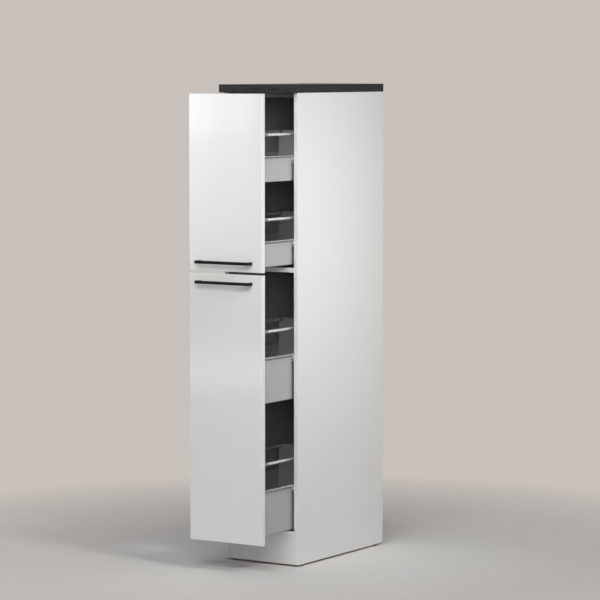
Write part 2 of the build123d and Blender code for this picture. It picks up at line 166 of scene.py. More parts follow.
# The photograph's camera
CAMERA_PLACE = (5.3601, -8.4311, 1.7217)
CAMERA_TURN = math.radians(32.5517)
CAMERA_TILT = math.radians(4.741)
CAMERA_LENS = 171.2
CAMERA_SENSOR = 36.0
CAMERA_REACH = 100.0

# Each lamp's place, the point that it faces, its width and height, and the spread of its beam
LAMPS = {
    "key": ((0.9, -3.2, 3.0), (0, -0.4, 0.9), (2.0, 1.4), math.radians(180)),
    "side": ((2.2, -0.95, 2.3), (0, -0.1, 0.9), (0.6, 0.5), math.radians(60)),
    "fill": ((3.2, -5.0, 1.85), (0.1, -0.2, 1.05), (1.6, 1.6), math.radians(40)),
}

# A card that only shows mirrored in the fronts
REFLECTOR_DISTANCE = 5.5
REFLECTOR_WIDTH = 2.4
REFLECTOR_HEIGHT = 3.0

# Glow of the card: each entry runs from a start to an end, and from a glow at one to a glow at the other
GLOW_FOLDS = (0.38, 0.62, 0.82, 1.18)
GLOW_LOWER = (0.42, 0.74, 0.45, 1.9)
GLOW_MIDDLE = (0.74, 1.34, 0.0, 1.9)
GLOW_UPPER = (1.335, 1.375, 0.0, 1.5)
GLOW_ACROSS = (-0.33, 0.05, 0.20, 1.05)
GLOW_BAND_START = (0.0, 0.10, 0.4, 1.25)
GLOW_BAND_END = (0.15, 0.36, 1.0, 0.0)
GLOW_SLANT = 0.15

# The floor's disc, and the distances between which it fades away
FLOOR_RADIUS = 6.0
FLOOR_FADE = (0.6, 1.9)


class CabinetFinish(bpy.types.PropertyGroup):
    """Colours and edge roundings of the cabinet."""

    white_board: FloatVectorProperty(
        name="White board", description="Matt white melamine of the sides and the plinth",
        subtype="COLOR", default=(0.78, 0.78, 0.77), min=0, max=1)
    inner_board: FloatVectorProperty(
        name="Inner board", description="Grey melamine inside the cabinet",
        subtype="COLOR", default=(0.42, 0.41, 0.40), min=0, max=1)
    gloss_front: FloatVectorProperty(
        name="Gloss front", description="White lacquer of the fronts",
        subtype="COLOR", default=(0.80, 0.80, 0.785), min=0, max=1)
    worktop: FloatVectorProperty(
        name="Worktop", description="Anthracite laminate of the worktop",
        subtype="COLOR", default=(0.016, 0.0165, 0.0195), min=0, max=1)
    handle: FloatVectorProperty(
        name="Handle", description="Black powder coat of the handles",
        subtype="COLOR", default=(0.004, 0.004, 0.0045), min=0, max=1)
    drawer_grey: FloatVectorProperty(
        name="Drawer grey", description="Powder coat of the drawer sides and melamine of the drawer boards",
        subtype="COLOR", default=(0.43, 0.43, 0.425), min=0, max=1)
    fitting: FloatVectorProperty(
        name="Fitting", description="Coat of the rail sockets and the front brackets",
        subtype="COLOR", default=(0.25, 0.25, 0.25), min=0, max=1)
    rail: FloatVectorProperty(
        name="Rail", description="Satin metal of the gallery rails",
        subtype="COLOR", default=(0.84, 0.84, 0.83), min=0, max=1)
    hardboard: FloatVectorProperty(
        name="Hardboard", description="Raw outer face of the thin back panels",
        subtype="COLOR", default=(0.24, 0.15, 0.085), min=0, max=1)
    board_ease: FloatProperty(
        name="Board ease", description="Rounding along the edges of the boards",
        unit="LENGTH", default=0.0008, min=0.0001, max=0.003)
    worktop_ease: FloatProperty(
        name="Worktop ease", description="Rounding along the edges of the worktop",
        unit="LENGTH", default=0.0015, min=0.0001, max=0.005)
    handle_ease: FloatProperty(
        name="Handle ease", description="Rounding along the edges of the handles",
        unit="LENGTH", default=0.0008, min=0.0001, max=0.003)


class CabinetStudio(bpy.types.PropertyGroup):
    """Light and background of the studio."""

    backdrop: FloatVectorProperty(
        name="Backdrop", description="Colour behind the cabinet",
        subtype="COLOR", default=(0.575, 0.530, 0.500), min=0, max=1)
    floor: FloatVectorProperty(
        name="Floor", description="Colour of the floor",
        subtype="COLOR", default=(0.72, 0.71, 0.69), min=0, max=1)
    ambient: FloatProperty(
        name="Ambient light", description="Strength of the even light from all round",
        default=0.295, min=0, max=2)
    key: FloatProperty(
        name="Key lamp", description="Power of the large lamp high at the front",
        unit="POWER", default=61, min=0, max=2000)
    side: FloatProperty(
        name="Side lamp", description="Power of the lamp high at the right",
        unit="POWER", default=5.4, min=0, max=2000)
    fill: FloatProperty(
        name="Fill lamp", description="Power of the lamp that shines in behind the fronts",
        unit="POWER", default=2.9, min=0, max=2000)
    reflector: FloatProperty(
        name="Reflector", description="Brightness of the card that the glossy fronts mirror",
        default=0.88, min=0, max=10)


def shell(rings, looped=False):
    """Skin over a stack of closed rings.

    Point j of ring i is joined to point j + 1 and to the same two points of ring i + 1. Flat lids close the
    first and the last ring, or, if the stack is looped, the last ring joins the first one.
    """
    rows, columns = rings.shape[:2]
    index = np.arange(rows * columns).reshape(rows, columns)
    above = np.roll(index, -1, axis=0)
    lids = []
    if not looped:
        lids = [index[0, ::-1], index[-1]]
        index, above = index[:-1], above[:-1]
    quads = np.stack([index, np.roll(index, -1, 1), np.roll(above, -1, 1), above], axis=-1).reshape(-1, 4)
    return rings.reshape(-1, 3), quads, lids


def eased(ease):
    """Draw-in ease (1 - sin t) and lift ease (1 - cos t) of rings near a face, over a quarter turn of t."""
    t = np.linspace(0, np.pi / 2, EASE_STEPS + 1)
    return ease * (1 - np.sin(t)), ease * (1 - np.cos(t))


def slab(low, high, ease, across):
    """Board with eased edges: rounded rectangles stacked along its thickness.

    The rings near a face are lifted from it and drawn in as eased says. Their corners are arcs about four
    fixed centres, so they shrink by as much.
    """
    low, high = np.array(low), np.array(high)
    first, second = (across + 1) % 3, (across + 2) % 3
    corner = CORNER_SHARE * ease
    t = np.linspace(0, np.pi / 2, EASE_STEPS + 1)
    drawn_in, lift = eased(ease)
    radius = corner - np.concatenate([drawn_in, drawn_in[::-1]])
    angle = (t + np.arange(4)[:, None] * np.pi / 2).ravel()
    side_one = np.repeat([1, -1, -1, 1], len(t))
    side_two = np.repeat([1, 1, -1, -1], len(t))
    middle, half = (low + high) / 2, (high - low) / 2 - corner
    rings = np.empty((len(radius), len(angle), 3))
    rings[:, :, first] = middle[first] + side_one * half[first] + np.outer(radius, np.cos(angle))
    rings[:, :, second] = middle[second] + side_two * half[second] + np.outer(radius, np.sin(angle))
    rings[:, :, across] = np.concatenate([low[across] + lift, high[across] - lift[::-1]])[:, None]
    return shell(rings)


def turned(profile, centre, along, sense=1, looped=False, steps=TURN_STEPS):
    """Surface of revolution: each pair of the profile is a distance along the axis and a radius.

    Ring i is a circle of that radius about the axis, at that distance from the centre. A looped profile
    closes on itself, so that it leaves a bore.
    """
    profile = np.asarray(profile, float)
    first, second = (along + 1) % 3, (along + 2) % 3
    angle = sense * np.linspace(0, 2 * np.pi, steps, endpoint=False)
    rings = np.empty((len(profile), steps, 3))
    rings[:, :, first] = centre[first] + np.outer(profile[:, 1], np.cos(angle))
    rings[:, :, second] = centre[second] + np.outer(profile[:, 1], np.sin(angle))
    rings[:, :, along] = centre[along] + sense * profile[:, :1]
    return shell(rings, looped)


def pushed(section, start, end, along):
    """A closed flat section carried straight along one axis. Its columns are the next two axes in turn."""
    following = np.roll(section, -1, axis=0)
    area = np.sum(section[:, 0] * following[:, 1] - section[:, 1] * following[:, 0])
    ring = section if area > 0 else section[::-1]
    rings = np.empty((2, len(ring), 3))
    rings[:, :, (along + 1) % 3] = ring[:, 0]
    rings[:, :, (along + 2) % 3] = ring[:, 1]
    rings[:, :, along] = np.array([[start], [end]])
    return shell(rings)


def quarter_bend(before, corner, after, radius):
    """Arc that rounds a square corner: centre - radius (cos t away + sin t back), for a quarter turn of t."""
    back = (before - corner) / np.linalg.norm(before - corner)
    away = (after - corner) / np.linalg.norm(after - corner)
    centre = corner + radius * (back + away)
    t = np.linspace(0, np.pi / 2, BEND_STEPS + 1)
    return centre - radius * (np.outer(np.cos(t), away) + np.outer(np.sin(t), back))


def folded(corners, thickness=SHEET, bend=BEND):
    """Closed section of a folded sheet, from the corners of its centre line.

    Each inner corner becomes an arc, and the line is shifted by half the sheet to both sides of its tangent.
    """
    corners = np.asarray(corners, float)
    bends = [quarter_bend(*corners[i:i + 3], bend) for i in range(len(corners) - 2)]
    line = np.concatenate([corners[:1], *bends, corners[-1:]])
    tangent = np.gradient(line, axis=0)
    tangent /= np.linalg.norm(tangent, axis=1)[:, None]
    shift = thickness / 2 * np.stack([-tangent[:, 1], tangent[:, 0]], axis=1)
    return np.concatenate([line + shift, (line - shift)[::-1]])


def mirrored(section, hand):
    """A section in X and Z as columns Z and X, on the given hand of the cabinet."""
    return np.stack([section[:, 1], hand * section[:, 0]], axis=1)


def screw(place, along, sense, head_height, length):
    """Pan-head screw with a cross recess, its shank pointing along an axis from under its head.

    At a share r of its radius, the head stands head_height (1 - HEAD_DOME r^4) high, less a recess where the
    point lies in either bar of the cross.
    """
    first, second = (along + 1) % 3, (along + 2) % 3
    angle = sense * np.linspace(0, 2 * np.pi, TURN_STEPS, endpoint=False)
    radius = np.concatenate([[1.0], np.linspace(1.0, HEAD_MIDDLE, SCREW_RINGS)])[:, None]
    bar_one = np.abs(radius * np.cos(angle))
    bar_two = np.abs(radius * np.sin(angle))
    reach = np.clip((CROSS_REACH - np.maximum(bar_one, bar_two)) / CROSS_REACH_FADE, 0, 1)
    recess = reach * np.clip((CROSS_WIDTH - np.minimum(bar_one, bar_two)) / CROSS_WIDTH_FADE, 0, 1)
    height = head_height * (1 - HEAD_DOME * radius ** 4 - CROSS_DEPTH * recess)
    height[0] = 0
    rings = np.empty((len(radius), TURN_STEPS, 3))
    rings[:, :, first] = place[first] + SCREW_HEAD_RADIUS * radius * np.cos(angle)
    rings[:, :, second] = place[second] - SCREW_HEAD_RADIUS * radius * np.sin(angle)
    rings[:, :, along] = place[along] - sense * height
    tip = SCREW_RADIUS * SCREW_TIP
    shank = [(0, SCREW_RADIUS), (length - 2 * SCREW_RADIUS, SCREW_RADIUS), (length, tip)]
    return [shell(rings), turned(shank, place, along, sense, steps=TURN_STEPS // 2)]


def add_piece(name, shells, material, body, slot, *nodes):
    """Join shells into one mesh, give it its finish, let it ride on its body and stand for its nodes."""
    starts = np.cumsum([0] + [len(points) for points, _, _ in shells])
    points = np.concatenate([part[0] for part in shells])
    faces = np.concatenate([part[1] + start for part, start in zip(shells, starts)]).tolist()
    faces += [(lid + start).tolist() for part, start in zip(shells, starts) for lid in part[2]]
    mesh = bpy.data.meshes.new(name)
    mesh.from_pydata(points.tolist(), [], faces)
    mesh.validate()
    mesh.shade_smooth()
    mesh.set_sharp_from_angle(angle=SHARP_ANGLE)
    mesh.materials.append(material)
    piece = bpy.data.objects.new(name, mesh)
    bpy.context.scene.collection.objects.link(piece)
    normals = piece.modifiers.new("Even normals", "WEIGHTED_NORMAL")
    normals.keep_sharp = True
    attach(piece, body)
    if nodes:
        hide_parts(*nodes)
    return piece


def paint_node(node, material):
    """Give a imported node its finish."""
    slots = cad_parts[node].data.materials
    slots.clear()
    slots.append(material)


class Finish:
    """One procedural material on Object coordinates, with short calls for the nodes that feed its shader."""

    def __init__(self, name):
        self.material = bpy.data.materials.new(name)
        self.material.use_nodes = True
        self.tree = self.material.node_tree
        self.shader = self.tree.nodes["Principled BSDF"]
        self.place = self.add("ShaderNodeTexCoord").outputs["Object"]

    def add(self, kind, **settings):
        """A new node with some of its settings."""
        made = self.tree.nodes.new(kind)
        for setting, value in settings.items():
            setattr(made, setting, value)
        return made

    def feed(self, socket, value):
        """Link an output to a socket, or set a plain value on it."""
        if isinstance(value, bpy.types.NodeSocket):
            self.tree.links.new(value, socket)
        else:
            socket.default_value = value

    def maths(self, operation, first, second=0.0):
        """One sum of two values."""
        made = self.add("ShaderNodeMath", operation=operation)
        self.feed(made.inputs[0], first)
        self.feed(made.inputs[1], second)
        return made.outputs[0]

    def noise(self, scale, detail=2.0, stretch=(1, 1, 1)):
        """Cloudy noise, between 0 and 1, with its pattern stretched along the axes."""
        mapping = self.add("ShaderNodeMapping")
        self.feed(mapping.inputs["Vector"], self.place)
        mapping.inputs["Scale"].default_value = stretch
        made = self.add("ShaderNodeTexNoise")
        self.feed(made.inputs["Vector"], mapping.outputs["Vector"])
        made.inputs["Scale"].default_value = scale
        made.inputs["Detail"].default_value = detail
        return made.outputs["Fac"]

    def spread(self, value, start, end, low, high):
        """A value from start to end mapped to low to high, and held there beyond them."""
        made = self.add("ShaderNodeMapRange")
        for socket, number in zip(made.inputs, (value, start, end, low, high)):
            self.feed(socket, number)
        return made.outputs["Result"]

    def vary(self, noise, low, high):
        """A cloudy noise mapped to low to high over its usual span."""
        return self.spread(noise, *NOISE_SPAN, low, high)

    def axis(self, number):
        """One of the object's coordinates."""
        made = self.add("ShaderNodeSeparateXYZ")
        self.feed(made.inputs[0], self.place)
        return made.outputs[number]

    def beyond(self, value, limit, soft=0.0001):
        """1 where the value is over the limit, else 0."""
        return self.spread(value, limit - soft, limit + soft, 0.0, 1.0)

    def mix(self, factor, first, second):
        """Two colours mixed by a factor."""
        made = self.add("ShaderNodeMix", data_type="RGBA")
        for name, value in (("Factor_Float", factor), ("A_Color", first), ("B_Color", second)):
            socket = next(one for one in made.inputs if one.identifier == name)
            self.feed(socket, value)
        return next(one for one in made.outputs if one.identifier == "Result_Color")

    def mottle(self, colour, depth, scale, detail=3.0, stretch=(1, 1, 1)):
        """A colour that is cloudily darker by up to a share of itself."""
        light = (*colour, 1.0)
        dark = (*[part * (1 - depth) for part in colour], 1.0)
        return self.mix(self.vary(self.noise(scale, detail, stretch), 0.0, 1.0), light, dark)

    def bump(self, *layers):
        """Bumps laid over each other: each is a height, its strength and its depth."""
        normal = None
        for height, strength, depth in layers:
            made = self.add("ShaderNodeBump")
            self.feed(made.inputs["Height"], height)
            made.inputs["Strength"].default_value = strength
            made.inputs["Distance"].default_value = depth
            if normal is not None:
                self.feed(made.inputs["Normal"], normal)
            normal = made.outputs["Normal"]
        self.feed(self.shader.inputs["Normal"], normal)

    def set(self, **values):
        """Set or link the shader's sockets, named with underscores for spaces."""
        for name, value in values.items():
            self.feed(self.shader.inputs[name.replace("_", " ")], value)
        return self.material


def particle_board(finish):
    """Colour of raw particle board: pale and brown chips."""
    grains = finish.spread(finish.noise(420.0, 4.0), 0.35, 0.65, 0.0, 1.0)
    return finish.mix(grains, (*CHIP_BROWN, 1), (*CHIP_PALE, 1))


def raw_foot(finish, colour, foot):
    """A board's colour, with raw particle board on its lower edge."""
    above = finish.beyond(finish.axis(Z), foot + FACE_SKIN)
    return finish.mix(above, particle_board(finish), colour)


def melamine_bump(finish, strength=0.25):
    """Fine pearl texture of melamine."""
    finish.bump((finish.noise(900.0, 2.0), strength, 0.0002))


def carcass_side(colours, low, high):
    """Side panels: white outside and on the front edge, grey inside, raw particle board behind and below."""
    inner_half, front, rear, foot = low[X], low[Y], high[Y], low[Z]
    finish = Finish("side_panel_board")
    white = finish.mottle(colours.white_board, 0.025, 3.0)
    grey = finish.mottle(colours.inner_board, 0.20, 5.0)
    sideways = finish.maths("ABSOLUTE", finish.axis(X))
    outside = finish.beyond(sideways, inner_half + FACE_SKIN)
    front_edge = finish.beyond(finish.maths("MULTIPLY", finish.axis(Y), -1.0), -front - SIDE_BAND)
    colour = finish.mix(finish.maths("MAXIMUM", outside, front_edge), grey, white)
    from_seam = finish.maths("ABSOLUTE", finish.maths("SUBTRACT", finish.axis(Y), front + SEAM_DEPTH))
    seam = finish.spread(from_seam, 0.0, SEAM_HALF, 0.82, 1.0)
    colour = finish.mix(seam, (*SEAM_GREY, 1), colour)
    behind = finish.beyond(finish.axis(Y), rear - FACE_SKIN)
    colour = raw_foot(finish, finish.mix(behind, colour, particle_board(finish)), foot)
    melamine_bump(finish)
    roughness = finish.vary(finish.noise(24.0, 3.0), 0.38, 0.48)
    return finish.set(Base_Color=colour, Roughness=roughness)


def edged_board(name, face, edge, front):
    """Boards inside the carcass: one colour on the faces and an edge band on the front."""
    finish = Finish(name)
    banded = finish.beyond(finish.maths("MULTIPLY", finish.axis(Y), -1.0), -front - BOARD_BAND)
    colour = finish.mix(banded, finish.mottle(face, 0.15, 5.0), finish.mottle(edge, 0.025, 3.0))
    melamine_bump(finish)
    roughness = finish.vary(finish.noise(24.0, 3.0), 0.38, 0.50)
    return finish.set(Base_Color=colour, Roughness=roughness)


def plain_board(name, colour, foot=None):
    """Melamine of one colour, softly mottled, with a raw lower edge if the height of its foot is given."""
    finish = Finish(name)
    melamine_bump(finish)
    roughness = finish.vary(finish.noise(24.0, 3.0), 0.36, 0.48)
    tone = finish.mottle(colour, 0.04, 4.0)
    if foot is not None:
        tone = raw_foot(finish, tone, foot)
    return finish.set(Base_Color=tone, Roughness=roughness)


def hardboard(colours, inner_face):
    """Thin back: grey lacquer on the inner face and felted brown fibres on the outer one."""
    finish = Finish("hardboard")
    fibres = finish.noise(260.0, 5.0, (1, 1, 0.35))
    raw = finish.mix(finish.spread(fibres, 0.35, 0.65, 0.0, 1.0), (*colours.hardboard, 1),
                     (*[part * 0.72 for part in colours.hardboard], 1))
    lacquer = finish.mottle(colours.inner_board, 0.20, 5.0)
    colour = finish.mix(finish.beyond(finish.axis(Y), inner_face + LACQUER_SKIN), lacquer, raw)
    finish.bump((fibres, 0.3, 0.0003))
    return finish.set(Base_Color=colour, Roughness=finish.vary(fibres, 0.50, 0.72))


def laminate(colours):
    """Anthracite laminate with long faint streaks and a fine slate-like relief."""
    finish = Finish("worktop_laminate")
    streaks = finish.noise(9.0, 6.0, (1.5, 9.0, 15.0))
    light = (*[part * 2.0 for part in colours.worktop], 1)
    dark = (*[part * 0.35 for part in colours.worktop], 1)
    colour = finish.mix(finish.spread(streaks, 0.32, 0.68, 0.0, 1.0), dark, light)
    fine = finish.noise(520.0, 4.0, (0.25, 1, 1))
    finish.bump((streaks, 0.06, 0.0005), (fine, 0.30, 0.0002))
    return finish.set(Base_Color=colour, Roughness=finish.vary(streaks, 0.44, 0.58),
                      Specular_IOR_Level=0.24)


def gloss_lacquer(colours):
    """High-gloss white lacquer: clear coat, faint long waves and a trace of dust-fine peel."""
    finish = Finish("gloss_lacquer")
    waves = finish.noise(6.0, 1.0)
    peel = finish.noise(260.0, 1.0)
    finish.bump((waves, 0.10, 0.0012), (peel, 0.02, 0.0001))
    colour = finish.mottle(colours.gloss_front, 0.015, 2.0)
    roughness = finish.vary(finish.noise(40.0, 3.0), 0.06, 0.09)
    return finish.set(Base_Color=colour, Roughness=roughness, Coat_Weight=1.0, Coat_Roughness=0.02,
                      Coat_IOR=1.52)


def powder_coat(name, colour, low, high, shine=0.5):
    """Powder-coated metal: a fine grain in its relief and its gloss."""
    finish = Finish(name)
    finish.bump((finish.noise(1100.0, 2.0), 0.35, 0.00015))
    roughness = finish.vary(finish.noise(60.0, 3.0), low, high)
    return finish.set(Base_Color=finish.mottle(colour, 0.05, 8.0), Roughness=roughness,
                      Specular_IOR_Level=shine)


def satin_metal(name, colour, metallic, low, high, stretch):
    """Drawn metal: fine scratches along its length."""
    finish = Finish(name)
    drawn = finish.noise(2600.0, 2.0, stretch)
    finish.bump((drawn, 0.05, 0.00005))
    roughness = finish.vary(drawn, low, high)
    return finish.set(Base_Color=finish.mottle(colour, 0.06, 60.0), Metallic=metallic, Roughness=roughness)


def moulded_plastic(name, colour, low, high, glow=0.0):
    """Moulded plastic: a soft even gloss with faint flow marks."""
    finish = Finish(name)
    flow = finish.noise(120.0, 3.0)
    finish.bump((flow, 0.10, 0.0002))
    roughness = finish.vary(flow, low, high)
    return finish.set(Base_Color=finish.mottle(colour, 0.04, 90.0), Roughness=roughness,
                      Subsurface_Weight=glow, Subsurface_Scale=0.002)


def raw_beech(colour):
    """Turned beech with short flecks along the dowel."""
    finish = Finish("raw_beech")
    flecks = finish.noise(700.0, 3.0, (0.15, 1, 1))
    finish.bump((flecks, 0.2, 0.0002))
    return finish.set(Base_Color=finish.mottle(colour, 0.25, 500.0, 3.0, (0.15, 1, 1)),
                      Roughness=finish.vary(flecks, 0.55, 0.7))


class CABINET_OT_carcass(bpy.types.Operator):
    """Side panels, horizontal boards, plinth and rails"""

    bl_idname = "cabinet.carcass"
    bl_label = "Carcass Boards"

    def execute(self, context):
        colours = context.scene.cabinet_finish
        low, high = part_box("right_side_panel")
        panel = carcass_side(colours, low, high)
        for hand in ("left", "right"):
            node = f"{hand}_side_panel"
            board = slab(*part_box(node), colours.board_ease, X)
            add_piece(f"{hand}_side", [board], panel, "carcass", "white_board", node)
        inside = edged_board("banded_grey_board", colours.inner_board, colours.white_board, low[Y])
        for node, name in (("bottom_panel", "bottom_board"), ("middle_shelf", "shelf_board")):
            board = slab(*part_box(node), colours.board_ease, Z)
            add_piece(name, [board], inside, "carcass", "inner_board", node)
        for node in ("top_front_rail", "top_rear_rail"):
            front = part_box(node)[0][Y]
            # The rails' front edge gets a dark band whose darkness is partly painted shade from the worktop
            # above
            paint_node(node, edged_board(f"{node}_board", colours.inner_board, RAIL_EDGE_AND_PAINTED_SHADE, front))
        low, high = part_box("plinth_panel")
        board = slab(low, high, colours.board_ease, Y)
        plinth = plain_board("white_melamine", colours.white_board, low[Z])
        add_piece("plinth", [board], plinth, "carcass", "white_board", "plinth_panel")
        back = hardboard(colours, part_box("back_panel_lower")[0][Y])
        for node in ("back_panel_lower", "back_panel_upper"):
            paint_node(node, back)
        return {"FINISHED"}


class CABINET_OT_worktop(bpy.types.Operator):
    """Worktop with eased edges"""

    bl_idname = "cabinet.worktop"
    bl_label = "Worktop"

    def execute(self, context):
        colours = context.scene.cabinet_finish
        board = slab(*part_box("worktop"), colours.worktop_ease, Z)
        add_piece("worktop_board", [board], laminate(colours), "carcass", "worktop", "worktop")
        return {"FINISHED"}


class CABINET_OT_fronts(bpy.types.Operator):
    """Glossy fronts"""

    bl_idname = "cabinet.fronts"
    bl_label = "Fronts"

    def execute(self, context):
        lacquer = gloss_lacquer(context.scene.cabinet_finish)
        for pullout in PULLOUTS:
            paint_node(f"{pullout}_front", lacquer)
        return {"FINISHED"}


def bow_ring(length, projection, inset):
    """Outline of a bow handle in X and Y, from its feet at Y 0, with the outer corners as quarter arcs.

    The outline is drawn in by the inset everywhere but at the feet.
    """
    reach, inner = length / 2 - inset, length / 2 - HANDLE_BAR + inset
    front, gap = -(projection - inset), -(projection - HANDLE_BAR + inset)
    outer = np.array([(-reach, 0), (-reach, front), (reach, front), (reach, 0)])
    arcs = [quarter_bend(*outer[i:i + 3], HANDLE_CORNER - inset) for i in range(2)]
    rest = np.array([(reach, 0), (inner, 0), (inner, gap), (-inner, gap), (-inner, 0)])
    return np.concatenate([outer[:1], *arcs, rest])


class CABINET_OT_handles(bpy.types.Operator):
    """Black bow handles and the screws that hold them"""

    bl_idname = "cabinet.handles"
    bl_label = "Handles"

    def execute(self, context):
        colours = context.scene.cabinet_finish
        coat = powder_coat("black_powder_coat", colours.handle, 0.40, 0.50, 0.15)
        steel = satin_metal("zinc_plated_steel", STEEL, 1.0, 0.28, 0.42, (1, 1, 1))
        insets, lifts = eased(colours.handle_ease)
        for pullout in PULLOUTS:
            low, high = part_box(f"{pullout}_handle")
            length, projection = high[X] - low[X], high[Y] - low[Y]
            levels = np.concatenate([low[Z] + lifts, high[Z] - lifts[::-1]])
            outline = np.stack([bow_ring(length, projection, inset)
                                for inset in np.concatenate([insets, insets[::-1]])])
            heights = np.broadcast_to(levels[:, None, None], (*outline.shape[:2], 1))
            rings = np.concatenate([outline, heights], axis=2) + np.array([0, high[Y], 0])
            add_piece(f"{pullout}_bow_handle", [shell(rings)], coat, f"{pullout}_pullout", "black_handle",
                      f"{pullout}_handle")
            paint_node(f"{pullout}_handle_screws", steel)
        return {"FINISHED"}


def side_section(low, high):
    """Folded section of a drawer side on the right, in X and Z, between the corners of its box."""
    wall = low[X] + BOTTOM_FLANGE - SHEET / 2
    lip = high[X] - SHEET / 2
    lower, upper = low[Z] + SHEET / 2, high[Z] - SHEET / 2
    return folded([(low[X], lower), (wall, lower), (wall, upper), (lip, upper), (lip, high[Z] - SIDE_LIP)])


class CABINET_OT_drawers(bpy.types.Operator):
    """Folded drawer sides, drawer bottoms and backs"""

    bl_idname = "cabinet.drawers"
    bl_label = "Drawers"

    def execute(self, context):
        colours = context.scene.cabinet_finish
        coat = powder_coat("grey_powder_coat", colours.drawer_grey, 0.34, 0.44)
        board = plain_board("grey_melamine", colours.drawer_grey)
        for drawer, body in DRAWERS:
            low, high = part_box(f"{drawer}_side_right")
            wall = low[X] + BOTTOM_FLANGE
            end = high[Y] - SHEET
            section = side_section(low, high)
            roller_low, roller_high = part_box(f"{drawer}_rear_rollers")
            pin_y = (roller_low[Y] + roller_high[Y]) / 2
            pin_z = (roller_low[Z] + roller_high[Z]) / 2
            reach = roller_high[X] - wall
            profile = [(0, PIN_RADIUS), (reach - PIN_EASE, PIN_RADIUS), (reach, PIN_RADIUS - PIN_EASE)]
            for name, hand in HANDS:
                folded_side = pushed(mirrored(section, hand), low[Y], end, Y)
                near, far = sorted((hand * (wall - REAR_TAB), hand * wall))
                tab_low = (near, end, low[Z] + DRAWER_FLOOR)
                tab_high = (far, high[Y], high[Z] - REAR_TAB_MARGIN)
                tab = slab(tab_low, tab_high, TAB_EASE, Y)
                pin = turned(profile, (hand * wall, pin_y, pin_z), X, hand)
                add_piece(f"{drawer}_{name}_wall", [folded_side, tab, pin], coat, body, "grey_sheet",
                          f"{drawer}_side_{name}")
            for node, name in (("bottom", "floor_board"), ("back", "back_board")):
                thickness = Z if node == "bottom" else Y
                piece = slab(*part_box(f"{drawer}_{node}"), colours.board_ease, thickness)
                add_piece(f"{drawer}_{name}", [piece], board, body, "drawer_board", f"{drawer}_{node}")
        return {"FINISHED"}


def rail_socket(place, sense, length):
    """Turned cup with a flanged foot; the profile runs along its outside and back along its bore."""
    profile = [
        (0, SOCKET_FLANGE_RADIUS),
        (SOCKET_FLANGE - SOCKET_EASE, SOCKET_FLANGE_RADIUS),
        (SOCKET_FLANGE, SOCKET_FLANGE_RADIUS - SOCKET_EASE),
        (SOCKET_FLANGE, SOCKET_RADIUS + SOCKET_EASE),
        (SOCKET_FLANGE + SOCKET_EASE, SOCKET_RADIUS),
        (length - SOCKET_EASE, SOCKET_RADIUS),
        (length, SOCKET_RADIUS - SOCKET_EASE),
        (length, SOCKET_BORE),
        (SOCKET_FLANGE, SOCKET_BORE),
        (SOCKET_FLANGE, SOCKET_MIDDLE),
        (0, SOCKET_MIDDLE),
    ]
    return turned(profile, place, Y, sense, looped=True)


def bracket(floor, inside, face, hand):
    """Angle between a drawer side and the front: a folded strip carried upwards."""
    leg = np.array([(inside - BRACKET_FOOT, face + BRACKET_THICKNESS / 2),
                    (inside - BRACKET_THICKNESS / 2, face + BRACKET_THICKNESS / 2),
                    (inside - BRACKET_THICKNESS / 2, face + BRACKET_ARM)])
    section = folded(leg, BRACKET_THICKNESS, BRACKET_BEND) * np.array([hand, 1])
    return pushed(section, floor + BRACKET_LIFT, floor + BRACKET_LIFT + BRACKET_HEIGHT, Z)


class CABINET_OT_rails(bpy.types.Operator):
    """Gallery rails, their sockets and the front brackets"""

    bl_idname = "cabinet.rails"
    bl_label = "Rails and Brackets"

    def execute(self, context):
        colours = context.scene.cabinet_finish
        satin = satin_metal("satin_rail", colours.rail, 0.35, 0.24, 0.31, (1, 0.03, 1))
        fitting = powder_coat("fitting_coat", colours.fitting, 0.30, 0.40)
        for drawer, body in DRAWERS:
            low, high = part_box(f"{drawer}_rails")
            radius = (high[Z] - low[Z]) / 2
            level = low[Z] + radius
            bore = radius - RAIL_WALL
            side_low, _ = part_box(f"{drawer}_side_right")
            inside = side_low[X] + BOTTOM_FLANGE - SHEET - BRACKET_FIT
            face = side_low[Y]
            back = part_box(f"{drawer}_back")[0][Y]
            length = high[Y] - low[Y]
            tubes, fittings = [], []
            for _, hand in HANDS:
                middle = hand * (high[X] - radius)
                tubes.append(turned([(0, radius), (length, radius), (length, bore), (0, bore)],
                                    (middle, low[Y], level), Y, looped=True))
                fittings.append(rail_socket((middle, face, level), 1, FRONT_SOCKET))
                fittings.append(rail_socket((middle, back, level), -1, REAR_SOCKET))
                fittings.append(bracket(side_low[Z], inside, face, hand))
            add_piece(f"{drawer}_gallery_rails", tubes, satin, body, "rail_metal", f"{drawer}_rails")
            add_piece(f"{drawer}_sockets_and_brackets", fittings, fitting, body, "fitting_metal",
                      f"{drawer}_fittings")
        return {"FINISHED"}


def roller(place, hand):
    """Nylon roller: a looped profile with bevelled rims, a shallow moulded recess in each face and a bore.

    The profile of one face runs from its bore to its rim, and the other face mirrors it.
    """
    near = [
        (0, ROLLER_BORE),
        (0, ROLLER_HUB),
        (ROLLER_RECESS, ROLLER_HUB + ROLLER_DRAFT),
        (ROLLER_RECESS, ROLLER_WEB - ROLLER_DRAFT),
        (0, ROLLER_WEB),
        (0, ROLLER_RADIUS - ROLLER_EASE),
        (ROLLER_EASE, ROLLER_RADIUS),
    ]
    far = [(ROLLER_WIDTH - along, radius) for along, radius in reversed(near)]
    return turned([near[-1], *far, *near[:-1]], place, X, hand, looped=True, steps=ROLLER_STEPS)


